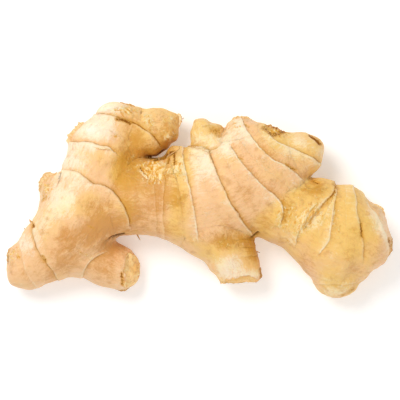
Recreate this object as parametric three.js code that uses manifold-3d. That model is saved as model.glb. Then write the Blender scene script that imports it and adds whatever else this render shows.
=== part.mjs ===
// A fresh ginger root: one hand of rhizome, lying flat on a table. It grew as one piece, so it is one solid.
// Millimetres, +Z up. The origin is under the middle of the hand, on the table.
// Each knuckle or finger is a capsule bent along a curve, with an oval section that swells and narrows on the way
// and steps in a little past each ring, where one sheath of skin ends over the next. The lobes are joined, the
// snapped fingers are cut across at their break, and the table's plane trims the underside to the small flats
// that the weight of the hand presses on.

import * as THREE from "three";
import { mergeVertices } from "three/addons/utils/BufferGeometryUtils.js";
import Module from "manifold-3d";

const SECTION_SIDES = 24; // faces round a lobe
const CAP_ROWS = 5; // rows of faces on a lobe's rounded end
const ROW_PITCH = 4.5; // length of a row of faces along a lobe
const SHEATH_STEP = 0.7; // how far a sheath's edge stands above the skin past it
const SHEATH_EDGE = 0.5; // length along the lobe in which the skin steps in
const BREAK_CUTTER = { width: 24, length: 20 }; // a block larger than a finger's end
const FLAT_DEPTH = 0.5; // how much of the underside is trimmed away where the hand presses on the table
const TABLE_CUTTER = { length: 200, width: 120, depth: 30 };

// A lobe's stations run from its root to its growing end. Each is [x, y, z, half width, half height], where the
// half width lies in the table's plane. rootCap and endCap say how far the rounded ends reach past the stations,
// and rings are the places of the sheath edges, as shares of the way along.
const LOBES = {
  left_hand: {
    stations: [
      [-66.8, -26.2, 9.6, 8.7, 9.5],
      [-58.2, -18.9, 12.0, 12.4, 12.4],
      [-47.2, -6.0, 14.8, 16.3, 15.2],
      [-40.4, 11.0, 14.2, 13.2, 13.6],
      [-37.2, 21.5, 12.8, 12.2, 12.4],
      [-33.4, 27.6, 11.8, 10.4, 11.5],
    ],
    rings: [0.12, 0.6, 0.82],
    rootCap: 8.6,
    endCap: 10.4,
  },
  top_finger: {
    stations: [
      [-32.0, 21.0, 12.0, 9.0, 9.5],
      [-25.5, 25.8, 11.4, 10.3, 9.2],
      [-16.2, 26.9, 10.4, 8.7, 8.2],
    ],
    rings: [0.5],
    rootCap: 5.0,
    endCap: 8.4,
  },
  left_ear: {
    stations: [
      [-53.5, 1.0, 15.5, 6.0, 6.0],
      [-57.8, 5.2, 15.5, 3.7, 4.2],
    ],
    rings: [],
    rootCap: 4.0,
    endCap: 3.7,
  },
  snapped_finger: {
    stations: [
      [-47.5, -18.6, 12.0, 11.6, 11.0],
      [-39.0, -23.7, 10.2, 9.7, 9.4],
      [-31.2, -26.8, 9.6, 8.3, 8.6],
    ],
    rings: [0.34],
    rootCap: 6.0,
    endCap: 8.2,
  },
  neck: {
    stations: [
      [-38.0, -0.8, 14.0, 13.4, 13.0],
      [-20.5, 1.1, 13.8, 15.0, 13.2],
      [-8.0, 0.4, 14.4, 18.0, 14.4],
    ],
    rings: [0.62],
    rootCap: 8.0,
    endCap: 10.0,
  },
  middle_hand: {
    stations: [
      [-5.0, 0.0, 14.6, 19.2, 14.6],
      [9.5, 4.2, 15.2, 19.0, 15.4],
      [20.5, 9.5, 15.0, 18.2, 15.0],
      [28.4, 14.2, 14.6, 15.6, 13.6],
    ],
    rings: [0.1, 0.36, 0.62, 0.86],
    rootCap: 8.0,
    endCap: 9.5,
  },
  back_shoulder: {
    stations: [
      [10.8, 13.0, 15.0, 11.6, 11.5],
      [17.8, 22.8, 14.4, 9.4, 9.8],
    ],
    rings: [0.7],
    rootCap: 6.0,
    endCap: 9.0,
  },
  back_bud: {
    stations: [
      [3.4, 15.0, 15.6, 8.2, 8.4],
      [3.0, 21.5, 16.6, 6.8, 7.0],
      [2.2, 26.2, 17.6, 5.2, 5.6],
    ],
    rings: [0.4],
    rootCap: 4.0,
    endCap: 5.2,
  },
  end_finger: {
    stations: [
      [29.0, 13.2, 14.8, 12.4, 11.6],
      [39.4, 17.7, 14.2, 8.8, 9.2],
    ],
    rings: [0.6],
    rootCap: 6.0,
    endCap: 8.5,
  },
  front_finger: {
    stations: [
      [4.5, -10.0, 14.0, 14.4, 12.8],
      [10.6, -19.6, 12.0, 11.2, 10.8],
      [13.9, -25.3, 11.0, 9.0, 9.4],
      [15.6, -30.5, 10.2, 7.8, 8.6],
    ],
    rings: [0.3, 0.56],
    rootCap: 6.0,
    endCap: 6.6,
  },
  right_hand: {
    stations: [
      [22.0, -1.4, 13.2, 12.4, 12.6],
      [37.5, -6.0, 13.6, 13.8, 13.4],
      [52.0, -12.2, 15.0, 18.8, 15.2],
      [60.4, -13.6, 14.4, 16.8, 14.0],
      [65.4, -17.0, 14.0, 12.8, 12.4],
    ],
    rings: [0.42, 0.66, 0.86],
    rootCap: 8.0,
    endCap: 8.4,
  },
  right_toe: {
    stations: [
      [51.5, -18.0, 13.2, 13.0, 12.6],
      [53.6, -28.7, 10.4, 9.9, 10.2],
    ],
    rings: [0.75],
    rootCap: 6.0,
    endCap: 9.9,
  },
  right_bud: {
    stations: [
      [42.6, 0.0, 15.0, 7.6, 9.0],
      [46.6, 1.9, 15.0, 6.6, 8.0],
    ],
    rings: [],
    rootCap: 5.0,
    endCap: 6.4,
  },
};

// Where a finger was snapped off: a point on the broken face, and the way the face looks.
const BREAKS = [
  { point: [-26.0, -28.4, 11.0], facing: [0.86, -0.22, 0.46] },
  { point: [16.0, -32.9, 9.0], facing: [0.06, -0.97, 0.22] },
];

const UP = new THREE.Vector3(0, 0, 1);

const wasm = await Module();
wasm.setup();

// A closed geometry as a manifold-3d solid.
function solidOf(geometry) {
  const bare = geometry.clone();
  bare.deleteAttribute("normal");
  bare.deleteAttribute("uv");
  const merged = mergeVertices(bare);
  return new wasm.Manifold(
    new wasm.Mesh({
      numProp: 3,
      vertProperties: merged.attributes.position.array,
      triVerts: new Uint32Array(merged.index.array),
    }),
  );
}

// A manifold-3d solid as a geometry.
function geometryOf(solid) {
  const mesh = solid.getMesh();
  const geometry = new THREE.BufferGeometry()
    .setAttribute("position", new THREE.BufferAttribute(mesh.vertProperties, mesh.numProp))
    .setIndex(new THREE.BufferAttribute(mesh.triVerts, 1));
  geometry.computeVertexNormals();
  return geometry;
}

// The rows of a lobe's skin: how far along each one stands, and how far it steps in from the full section.
function rowsOf(rings, length) {
  const half = SHEATH_EDGE / 2 / length;
  const edges = [0, ...rings, 1];
  const rows = [];
  for (let k = 0; k + 1 < edges.length; k++) {
    const from = k === 0 ? 0 : edges[k] + half;
    const to = k + 2 === edges.length ? 1 : edges[k + 1] - half;
    const count = Math.max(1, Math.round(((to - from) * length) / ROW_PITCH));
    for (let j = 0; j <= count; j++) {
      const share = j / count;
      rows.push({ along: from + (to - from) * share, inset: k === 0 ? 0 : SHEATH_STEP * (1 - share) });
    }
  }
  return rows;
}

// A lobe: a capsule of radius 1, bent along the curve through its stations and swollen to their half sizes.
function lobe({ stations, rings, rootCap, endCap }) {
  const axis = new THREE.CatmullRomCurve3(
    stations.map(([x, y, z]) => new THREE.Vector3(x, y, z)),
    false,
    "catmullrom",
  );
  const sizes = new THREE.CatmullRomCurve3(
    stations.map(([, , , halfWidth, halfHeight]) => new THREE.Vector3(halfWidth, halfHeight, 0)),
    false,
    "catmullrom",
  );
  const rows = rowsOf(rings, axis.getLength());
  const geometry = new THREE.CapsuleGeometry(1, 1, CAP_ROWS, SECTION_SIDES, rows.length - 1);
  const places = geometry.attributes.position;
  const point = new THREE.Vector3();
  for (let i = 0; i < places.count; i++) {
    point.fromBufferAttribute(places, i);
    const level = THREE.MathUtils.clamp(point.y + 0.5, 0, 1);
    const past = point.y + 0.5 - level; // -1 to 0 on the root's cap, 0 to 1 on the growing end's
    const { along, inset } = rows[Math.round(level * (rows.length - 1))];
    const size = sizes.getPoint(along).addScalar(-inset);
    const tangent = axis.getTangent(along);
    const side = new THREE.Vector3().crossVectors(UP, tangent).normalize();
    const rise = new THREE.Vector3().crossVectors(tangent, side);
    const place = axis
      .getPoint(along)
      .addScaledVector(tangent, past * (past < 0 ? rootCap : endCap))
      .addScaledVector(side, point.z * size.x)
      .addScaledVector(rise, point.x * size.y);
    places.setXYZ(i, place.x, place.y, place.z);
  }
  return geometry;
}

// A block standing on the broken face, so that it takes away what is past it.
function breakCutter({ point, facing }) {
  const { width, length } = BREAK_CUTTER;
  const turn = new THREE.Quaternion().setFromUnitVectors(UP, new THREE.Vector3(...facing).normalize());
  return new THREE.BoxGeometry(width, width, length)
    .translate(0, 0, length / 2)
    .applyQuaternion(turn)
    .translate(...point);
}

// Everything under the height of the flats.
function tableCutter() {
  const { length, width, depth } = TABLE_CUTTER;
  return new THREE.BoxGeometry(length, width, depth).translate(0, 0, FLAT_DEPTH - depth / 2);
}

let rhizome = Object.values(LOBES)
  .map((shape) => solidOf(lobe(shape)))
  .reduce((whole, next) => whole.add(next));
for (const snapped of BREAKS) rhizome = rhizome.subtract(solidOf(breakCutter(snapped)));
rhizome = rhizome.subtract(solidOf(tableCutter()));

// The middle of the hand comes over the origin, and the flats onto the table.
const { min, max } = rhizome.boundingBox();
rhizome = rhizome.translate([-(min[0] + max[0]) / 2, -(min[1] + max[1]) / 2, -FLAT_DEPTH]);

const skin = new THREE.MeshStandardMaterial({ color: 0xe3b678, roughness: 0.55, metalness: 0 });
const root = new THREE.Mesh(geometryOf(rhizome), skin);
root.name = "ginger_root";

const ginger = new THREE.Group();
ginger.add(root);

export default ginger;
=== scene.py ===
import itertools
import math
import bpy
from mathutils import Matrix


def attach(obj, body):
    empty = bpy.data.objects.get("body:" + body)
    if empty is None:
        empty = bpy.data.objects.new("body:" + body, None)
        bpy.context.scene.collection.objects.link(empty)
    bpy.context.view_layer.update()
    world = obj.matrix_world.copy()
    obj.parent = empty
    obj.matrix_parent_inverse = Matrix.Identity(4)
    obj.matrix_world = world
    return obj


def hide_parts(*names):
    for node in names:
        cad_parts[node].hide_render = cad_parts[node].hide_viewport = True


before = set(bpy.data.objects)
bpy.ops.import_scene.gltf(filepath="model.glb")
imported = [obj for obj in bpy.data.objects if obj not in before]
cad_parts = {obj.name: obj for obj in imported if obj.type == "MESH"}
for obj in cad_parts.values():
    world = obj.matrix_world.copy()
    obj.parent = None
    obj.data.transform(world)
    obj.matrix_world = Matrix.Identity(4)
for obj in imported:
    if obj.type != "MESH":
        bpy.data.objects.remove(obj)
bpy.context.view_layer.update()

from types import SimpleNamespace

import bpy
import numpy as np
from bpy.props import FloatProperty, FloatVectorProperty, PointerProperty
from mathutils import Vector
from mathutils.bvhtree import BVHTree

bl_info = {
    "name": "Ginger Root",
    "version": (1, 0, 0),
    "blender": (4, 5, 0),
    "location": "3D View > Sidebar > Ginger",
    "description": "Builds a hand of fresh ginger with its sheathed skin, torn fingers and root fibres",
    "category": "Add Mesh",
}

# ---------------------------------------------------------------------------
# The shape. Growth is written in millimetres and scaled to metres at the end.

MM = 0.001
# Brings the grown hand's middle over the origin and its flats onto the table.
CENTRING = np.array([0.058, 0.305, -0.5])

# Each lobe: stations [x, y, z, half width, half height] from its root to its growing end, then how far its
# rounded ends reach past the stations. soft lobes melt into the body. The others keep a crease round their
# root.
LOBES = {
    "left_hand": dict(stations=[[-66.8, -26.2, 9.6, 8.7, 9.5], [-58.2, -18.9, 12.0, 12.4, 12.4],
        [-47.2, -6.0, 14.8, 16.3, 15.2], [-40.4, 11.0, 14.2, 13.2, 13.6], [-37.2, 21.5, 12.8, 12.2, 12.4],
        [-33.4, 27.6, 11.8, 10.4, 11.5]], caps=(8.6, 10.4), soft=True),
    "top_finger": dict(stations=[[-32.0, 21.0, 12.0, 9.0, 9.5], [-25.5, 25.8, 11.4, 10.3, 9.2],
        [-16.2, 26.9, 10.4, 8.7, 8.2]], caps=(5.0, 8.4), soft=False),
    "left_ear": dict(stations=[[-53.5, 1.0, 15.5, 6.0, 6.0], [-57.8, 5.2, 15.5, 3.7, 4.2]], caps=(4.0, 3.7),
        soft=False),
    "snapped_finger": dict(stations=[[-47.5, -18.6, 12.0, 11.6, 11.0], [-39.0, -23.7, 10.2, 9.7, 9.4],
        [-31.2, -26.8, 9.6, 8.3, 8.6]], caps=(6.0, 8.2), soft=False),
    "neck": dict(stations=[[-38.0, -0.8, 14.0, 13.4, 13.0], [-20.5, 1.1, 13.8, 15.0, 13.2],
        [-8.0, 0.4, 14.4, 18.0, 14.4]], caps=(8.0, 10.0), soft=True),
    "middle_hand": dict(stations=[[-5.0, 0.0, 14.6, 19.2, 14.6], [9.5, 4.2, 15.2, 19.0, 15.4],
        [20.5, 9.5, 15.0, 18.2, 15.0], [28.4, 14.2, 14.6, 15.6, 13.6]], caps=(8.0, 9.5), soft=True),
    "back_shoulder": dict(stations=[[10.8, 13.0, 15.0, 11.6, 11.5], [17.8, 22.8, 14.4, 9.4, 9.8]],
        caps=(6.0, 9.0), soft=True),
    "back_bud": dict(stations=[[3.4, 15.0, 15.6, 8.2, 8.4], [3.0, 21.5, 16.6, 6.8, 7.0],
        [2.2, 26.2, 17.6, 5.2, 5.6]], caps=(4.0, 5.2), soft=False),
    "end_finger": dict(stations=[[29.0, 13.2, 14.8, 12.4, 11.6], [39.4, 17.7, 14.2, 8.8, 9.2]],
        caps=(6.0, 8.5), soft=True),
    "front_finger": dict(stations=[[4.5, -10.0, 14.0, 14.4, 12.8], [10.6, -19.6, 12.0, 11.2, 10.8],
        [13.9, -25.3, 11.0, 9.0, 9.4], [15.6, -30.5, 10.2, 7.8, 8.6]], caps=(6.0, 6.6), soft=False),
    "right_hand": dict(stations=[[22.0, -1.4, 13.2, 12.4, 12.6], [37.5, -6.0, 13.6, 13.8, 13.4],
        [52.0, -12.2, 15.0, 18.8, 15.2], [60.0, -14.6, 14.4, 17.2, 14.0], [65.4, -17.0, 14.0, 12.8, 12.4]],
        caps=(8.0, 8.4), soft=True),
    "right_toe": dict(stations=[[51.5, -18.0, 13.2, 13.0, 12.6], [53.6, -28.7, 10.4, 9.9, 10.2]],
        caps=(6.0, 9.9), soft=True),
    "right_bud": dict(stations=[[42.6, 0.0, 15.0, 7.6, 9.0], [46.6, 1.9, 15.0, 6.6, 8.0]], caps=(5.0, 6.4),
        soft=False),
}

# Where a finger was snapped off: its lobe, a point on the broken face and the way the face looks.
BREAKS = [
    ("snapped_finger", (-26.6, -28.0, 12.0), (0.82, -0.16, 0.55)),
    ("front_finger", (16.0, -32.6, 9.0), (0.04, -0.98, 0.2)),
]

# Sheath edges, drawn from above and carried straight down through the lobe. The skin on the left of the path
# stands proud by step, and ends there over the skin on its right. rim says how pale its edge is, partly a
# painted highlight, and dark how strong the brown line and the painted shade under it are at the first and at
# the last point.
RINGS = [
    dict(lobes="left_hand neck", step=0.8, rim=0.5, dark=(1, 0.1), path=[(-27.3, -8.6), (-28.2, -5),
         (-30.4, -0.4), (-33.6, 3), (-37.4, 5.2), (-41, 6.4), (-44, 8.6), (-48, 10.4), (-57, 11.4)]),
    dict(lobes="left_hand", step=0.7, rim=1.0, dark=(0.5, 0.2), path=[(-33.6, 18.4), (-35.4, 20),
         (-38.4, 20.4), (-42, 21.6), (-47, 22), (-52, 22.2)]),
    dict(lobes="left_hand top_finger", step=0.5, rim=0.5, dark=(0.9, 0.7), path=[(-16, 21.6), (-19, 25),
         (-22, 27.4), (-26, 29.6), (-31, 31.6), (-36, 32.8), (-42, 34)]),
    dict(lobes="left_hand", step=0.45, rim=0.4, dark=(0.9, 0.35), path=[(-66, -8), (-64.8, -12),
         (-63.4, -17), (-61.4, -21.4), (-58.8, -24.8), (-56.6, -28), (-55, -33)]),
    dict(lobes="left_hand", step=0.25, rim=0.35, dark=(0, 0), path=[(-71, -13), (-69.2, -19), (-68.6, -25),
         (-67, -30), (-63, -36)]),
    dict(lobes="snapped_finger left_hand", step=0.45, rim=0.5, dark=(0.1, 0.3), path=[(-46, -32),
         (-45, -28.5), (-43.6, -25.4), (-41.2, -22.8), (-38, -21)]),
    dict(lobes="neck", step=0.12, rim=0.2, dark=(0.2, 0.5), path=[(-13.6, -16), (-14.2, -6), (-13.8, 3),
         (-13.4, 9), (-12.4, 17)]),
    dict(lobes="neck", step=0.1, rim=0.15, dark=(0.1, 0.2), path=[(-17, -15), (-16.4, -8), (-17.2, -2),
         (-17.4, 6)]),
    dict(lobes="neck middle_hand", step=0.5, rim=0.8, dark=(0.1, 0.25), path=[(0.6, -20), (-0.8, -14),
         (-1.8, -6), (-3.2, 2), (-5, 9), (-6.2, 16), (-6.4, 21)]),
    dict(lobes="middle_hand back_bud", step=0.55, rim=0.9, dark=(0.7, 0.4), path=[(20.2, -13.4),
         (16.6, -8.6), (12.6, -2.4), (9.6, 3.4), (6.4, 10), (4.2, 16), (1.6, 19.6), (-3, 20.8)]),
    dict(lobes="middle_hand back_shoulder right_hand", step=0.5, rim=1.0, dark=(0.25, 0), path=[(31.4, -8),
         (32, -3.6), (29.4, 0.6), (24.8, 5), (19, 10.6), (14.6, 15.6), (12.4, 19.4)]),
    dict(lobes="middle_hand back_shoulder end_finger right_hand", step=0.45, rim=1.0, dark=(0.2, 0.05),
         path=[(38.6, 8.4), (34.6, 12), (28, 15.4), (23, 19.6), (19.4, 24.6), (17.6, 28), (15.4, 33)]),
    dict(lobes="end_finger middle_hand back_shoulder", step=0.45, rim=0.9, dark=(0.5, 0.2),
         path=[(46, 14.4), (43.2, 16.5), (37, 18.9), (31, 21.6), (27.6, 24), (26, 27)]),
    dict(lobes="back_bud", step=0.35, rim=0.3, dark=(0.6, 0.5), path=[(9.4, 22), (6.6, 19.6), (3.6, 18.6),
         (0, 19.2), (-4, 20)]),
    dict(lobes="right_hand right_toe", step=0.4, rim=0.8, dark=(0.05, 0.15), path=[(46.4, -20),
         (49.6, -15.6), (50.4, -9), (51.6, -2), (52.8, 3), (53, 8)]),
    dict(lobes="right_hand right_toe", step=0.55, rim=0.7, dark=(0.15, 0.1), path=[(60.6, -8.4), (60, -3.6),
         (59.6, 2), (59.4, 8)]),
    dict(lobes="right_hand right_toe", step=0.35, rim=0.3, dark=(0.5, 0.4), path=[(62.4, -22), (62.2, -17),
         (61.8, -12.6), (61, -7.6)]),
    dict(lobes="right_hand", step=0.3, rim=0.7, dark=(0, 0), path=[(73.6, -17.4), (71.4, -11.6),
         (68.2, -5.4), (65, 0.4), (63, 6)]),
    dict(lobes="right_bud right_hand", step=0.7, rim=0.7, dark=(0.5, 1), path=[(40.6, -10.4), (43, -6.6),
         (46.2, -3), (49.6, 0), (51.8, 3.2), (52.8, 8)]),
    dict(lobes="right_hand", step=0.5, rim=0.9, dark=(0.2, 0.1), path=[(37.6, -16), (38.6, -12), (40.4, -9),
         (41.6, -5.6), (44, -3)]),
    dict(lobes="front_finger", step=0.25, rim=0.0, dark=(0.3, 0.9), path=[(14, -15.4), (17, -15),
         (20, -15.6), (24, -17)]),
    dict(lobes="front_finger", step=0.2, rim=0.0, dark=(0.3, 0.8), path=[(16, -18.6), (19, -18.2),
         (25, -19.6)]),
    dict(lobes="front_finger", step=0.2, rim=0.1, dark=(0.2, 0.7), path=[(17.4, -22), (20, -21.6),
         (25, -22.4)]),
    dict(lobes="right_toe", step=0.2, rim=0.2, dark=(0.15, 0.15), path=[(42, -33.6), (50, -32.6),
         (57, -32.8), (66, -31)]),
]

# Deep folds between the fingers, drawn from above and fading from their first point to their last: a path, a
# half width, a depth and how dark the painted shade in them is.
FOLDS = [
    ([(-14.4, 17.5), (-16.8, 17.3), (-19.6, 16.6), (-25, 14)], 1.7, 1.4, 1.0),
    ([(-29.6, -14.2), (-33.4, -14.8), (-37, -17), (-42, -21.4)], 0.9, 1.0, 0.85),
    ([(-22.6, 35.6), (-22.9, 31.6), (-22.6, 27)], 0.6, 1.2, 0.5),
    ([(22.2, -13.8), (19.4, -14.8), (15, -16)], 0.6, 0.9, 0.7),
    ([(45.4, 9.8), (42.4, 8.4), (38.6, 8)], 0.7, 1.2, 0.6),
    ([(9.6, 28.6), (8.6, 24.2), (6.8, 20.4)], 0.8, 0.9, 0.3),
    ([(-54.2, 12.6), (-54.4, 8.4), (-56, 3), (-58.6, -2.6)], 0.8, 1.2, 0.6),
]

# Brown corky marks on the upper side: a path from above, a half width and a strength.
SCARS = [
    ([(42.8, 25.2), (44.4, 23.4), (45.8, 21.2)], 0.6, 1.0),
    # This mark is partly painted shade in the crevice under the top finger.
    ([(-17.4, 15), (-13.8, 17), (-10, 17.8)], 0.7, 1.0),
    ([(24.6, 27.6), (27.4, 25.2), (30, 25.2), (32.6, 26.4)], 0.8, 0.8),
    ([(-32, 31.2), (-29, 30.6), (-27, 29.6)], 0.65, 1.0),
    ([(33, 13.4), (34.6, 12.4), (37, 11.4)], 0.4, 0.8), ([(22.6, -27), (22.9, -30.8)], 0.5, 0.6),
    ([(73.4, -15.6), (73.9, -18.6)], 0.8, 0.8), ([(61.3, -9.6), (61.8, -13.8)], 0.5, 0.9),
    ([(-65.4, -9.8), (-64.8, -10.4)], 0.6, 1.0), ([(-74, -20.6), (-75, -24.6)], 0.6, 0.8),
    ([(-60.6, -21.8), (-59.4, -23.6)], 0.5, 0.8), ([(-22.9, 12.2), (-22, 10.2), (-20.4, 8.6)], 0.4, 0.9),
    ([(-10, 17.6), (-9.8, 13.6)], 0.45, 1.0), ([(-12.2, 15.8), (-12.4, 14.2)], 0.4, 0.9),
    ([(-30.4, -28.6), (-30.2, -32.6)], 0.5, 0.8), ([(4.4, 26.8), (7, 24.6)], 1.0, 0.5),
    ([(43.4, 7.2), (45.6, 6.2)], 0.6, 0.7), ([(51.6, 5.4), (53, 4.4)], 0.7, 0.6),
    ([(55.6, -37.4), (59.4, -34.6)], 0.8, 0.5), ([(31.4, -5.4), (33, -8.6)], 0.4, 0.6),
    ([(-61, -0.4), (-59.4, 0.4)], 0.7, 0.4), ([(-43, -9.8), (-40.6, -11.2)], 0.3, 0.5),
    ([(14.6, 16), (16.4, 15.2)], 0.3, 0.5), ([(17.4, 29), (19, 28.2)], 0.4, 0.5),
]

# Patches where the skin is torn into fibres: middle, half length, half width, turn in degrees and strength.
TORN_PATCHES = [
    (-17.6, 11.0, 6.6, 6.4, 0, 1.05), (-8.8, 12.0, 3.4, 5.4, 0, 0.85), (-27.0, 14.0, 3.4, 6.0, 0, 0.4),
    (41.0, -7.0, 12.0, 4.6, 52, 0.75), (46.5, -6.0, 7.0, 4.4, 60, 0.5), (34.0, -6.0, 9.0, 5.0, 45, 0.6),
    (30.5, -9.0, 4.0, 5.0, 0, 0.5), (53.0, -10.0, 3.0, 9.0, 0, 0.4), (30.0, 26.0, 7.0, 2.0, -10, 0.9),
    (-19.6, 30.4, 2.6, 4.4, 0, 0.8), (-12.6, 31.0, 3.4, 2.6, 0, 0.6), (-12.0, 24.0, 5.0, 4.0, 0, 0.6),
    (-33.0, 25.0, 4.0, 4.0, 0, 0.4), (-29.0, 34.5, 6.0, 2.4, 0, 0.8), (4.0, 28.0, 4.0, 3.0, 0, 0.5),
    (14.0, 29.0, 5.0, 3.0, 0, 0.4), (11.0, -17.0, 9.0, 3.0, 0, 0.45), (-71.5, -22.0, 3.0, 5.0, 0, 0.6),
    (-59.0, 4.0, 3.0, 5.0, 0, 0.7), (-44.0, -22.0, 6.0, 3.0, -30, 0.4),
]

# Where the skin is dry and freckled: middle, half length, half width, turn and strength.
DRY_PATCHES = [
    (-15, 27, 8, 8, 0, 1.0), (5, 27, 6, 4, -30, 1.0), (14, -16, 11, 4, 0, 1.0), (-8, 4, 6, 12, 0, 0.6),
    (36, 0, 9, 7, 40, 0.8), (47, 4, 5, 4, 0, 0.8), (-48, -16, 9, 6, 30, 0.6), (-28, 12, 6, 8, 0, 0.5),
    (18, 14, 10, 6, 0, 0.5), (-32, 32, 9, 4, 0, 0.6), (-60, 0, 5, 8, 0, 0.5), (56, -34, 9, 4, 0, 0.5),
]

# Large soft changes of tone over the upper side: middle, half length, half width, turn and amount
# (positive is paler and creamier, negative browner and warmer). They are partly the skin's own tone and
# partly painted light: the strongest pale patches are painted highlights where the knuckles face the light,
# and dark patches on the sides turned away from it and under the top finger are painted shade.
TONE_AND_PAINTED_LIGHT = [
    (-40, 26.4, 7, 4.6, 0, 2.9), (-36, 35.4, 7, 3, 0, 2.2), (-25, 25, 5, 6, 0, -1.5),
    (-20, 31, 3, 4.4, 0, 1.7), (-12, 25, 4.4, 4, 0, -0.9), (-13, 21, 6, 2.4, 20, -1.1),
    (-17.4, 19.4, 4.5, 2.6, 10, -1.4), (-49, 14, 6, 6, 0, 1.6), (-38, 15, 5, 4, 0, -0.8),
    (-29, 10, 4, 9, 0, -1.9), (-16, 16, 5, 2.5, 0, -0.9), (-20, 9, 6, 7, 0, -1.0), (-16, 1, 4, 6, 0, -1.0),
    (-52, -1, 7, 8, -30, 1.9), (-39, -2, 8, 8, 0, -0.9), (-36, -10, 9, 4, 20, -1.3),
    (-48, -15.4, 12, 8, 20, -1.6), (-58, -11, 4, 6, 0, 1.0), (-56, -28, 8, 3.5, 20, -0.9),
    (-66, -16, 4, 6, -20, 1.2), (-71, -30, 5, 4, 0, 0.1), (-37, -26, 7, 6, 0, -0.8),
    (-33, -19, 5, 3, 0, -1.0), (-22, -5, 7, 5, 0, -1.2), (-18, -12, 10, 3, 0, -0.4), (-8, 1, 4, 7, 0, -1.1),
    (-8, 12, 3, 5, 0, 0.6), (0, 13, 5, 7, 0, 1.1), (1, -3, 4, 10, 0, 0.4), (10, -9, 6, 4, 0, -0.5),
    (1, 24, 5, 6, 0, 1.3), (6, 27, 3, 3, -30, -0.7), (9, 20, 3, 6, 20, 1.4), (13, 27, 6, 5, 0, 0.8),
    (22, 0, 7, 8, 30, -0.4), (26, -8, 6, 4, 0, -0.7), (26, 20, 8, 4, 0, -0.3), (38, 22, 5, 3, -10, 1.1),
    (46, 17, 3, 3, 0, 1.3), (35, 8, 8, 5, 0, -0.3), (46, 4, 5, 4, 0, -1.6), (32, -2, 5, 5, 40, -0.8),
    (33, -10, 4, 4, 0, 0.3), (44, -8, 7, 3, 50, 1.6), (47, -20, 5, 6, 0, 0.6), (55, 1, 3, 7, 0, 0.4),
    (60, -14, 4, 7, 0, -0.4), (71, -10, 3, 9, 20, 1.3), (65, -9, 4, 7, 20, 0.7), (66, -22, 6, 5, 0, -0.2),
    (41, -25, 4, 5, 40, -0.6), (52, -35, 6, 4, 0, 1.4), (12, -16, 9, 3.4, 0, -1.6),
    (11.4, -26, 6, 4.6, 0, 1.7), (20.6, -19, 3, 5, 0, -1.6), (16, -30, 7, 2, 0, 1.0),
    (19.8, -28.6, 2.4, 2.6, 0, 1.2),
]

# Where the skin is more golden (positive) or more pinkish: middle, half length, half width, turn and amount.
GOLDEN = [
    (-28, 10, 6, 14, 0, 1.1), (-16, 27, 8, 8, 0, 0.6), (-42, 20, 8, 10, 0, -0.3),
    (-64, -24, 10, 10, 0, -0.7), (-48, -14, 12, 9, 0, -0.5), (-35, -27, 9, 8, 0, -1.8),
    (-22, -5, 10, 9, 0, -0.5), (-8, 6, 5, 12, 0, 0.7), (3, -3, 7, 12, 0, -0.7), (20, 2, 12, 7, 45, -0.8),
    (30, 22, 10, 5, 0, 0.6), (14, -18, 10, 6, 0, 1.0), (44, 0, 10, 8, 0, 1.4), (36, -8, 8, 8, 0, 1.1),
    (56, -8, 8, 14, 0, 1.0), (53, -33, 8, 5, 0, 1.1), (67, -12, 6, 10, 0, 0.5), (30, 24, 6, 4, 0, 0.6),
    (41, 19, 8, 5, 0, 0.6), (1, 25, 6, 6, 0, 0.8),
]

# Swellings of the upper side that fill a valley or round a knuckle out: middle, half length, half width, turn
# and height.
SWELLS = [
    (-39, 26, 6.0, 6.0, 0, 0.8), (-50, -2, 8.0, 8.0, 0, 0.8), (55, -6, 7.0, 7.0, 0, 0.5),
    (38, 21, 4.0, 4.0, 0, 0.6), (11, -24, 5.0, 5.0, 0, 0.5),
]

# Local pushes in plan that give the outline its corners and flats: middle, reach, and the move along x and y.
NUDGES = [
    (-74, -32, 3.2, -0.9, -0.9), (-73.5, -20, 3.6, -1.4, 0.9), (-65, -6, 4.2, 1.2, -0.2),
    (-62, 3, 2.2, -0.7, 0.0), (-56, 11, 2.0, 0.8, -0.8), (-51, 24, 4.0, -1.0, 0.4),
    (-43, 33, 4.0, 0.8, -0.8), (-21.5, 36, 2.4, 0.0, -1.1), (-9, 32.5, 2.6, 1.2, 0.9),
    (-10.8, 20.4, 3.0, -0.5, 1.5), (-17.6, 19, 2.6, 0.0, -1.6), (-17.6, 15.4, 2.2, 0.0, 0.8),
    (-3.6, 25, 3.0, -0.9, 0.0), (-1.6, 31, 2.0, -1.1, 0.7), (4.2, 31, 2.2, -0.3, -1.3),
    (7.4, 27.2, 2.0, 1.3, 0.9), (4, 22, 3.0, 1.2, 0.0), (22, 31.5, 3.0, 0.0, -0.7),
    (27.5, 28.5, 2.2, 0.0, -0.6), (47.4, 21, 4.0, 0.9, 0.4), (68, 0, 4.2, -1.3, -1.1),
    (75, -10, 5.0, -1.4, 0.0), (73, -24, 3.2, 1.0, -0.7), (64.6, -30.4, 2.3, 1.3, -0.6),
    (24, -15, 3.0, 0.0, 0.6), (34.5, -20.5, 5.0, -0.3, 0.7), (43, -32, 3.6, 0.8, 0.6),
    (23, -29, 4.0, 0.8, 0.0), (1, -24.5, 4.6, 1.6, 1.4), (-14, -15, 5.0, 0.0, 0.8),
    (-25, -22, 3.6, -1.1, 0.0), (-45, -31.5, 4.2, 0.0, 1.3), (71.6, -4, 2.0, 0.7, 0.4),
]

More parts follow.
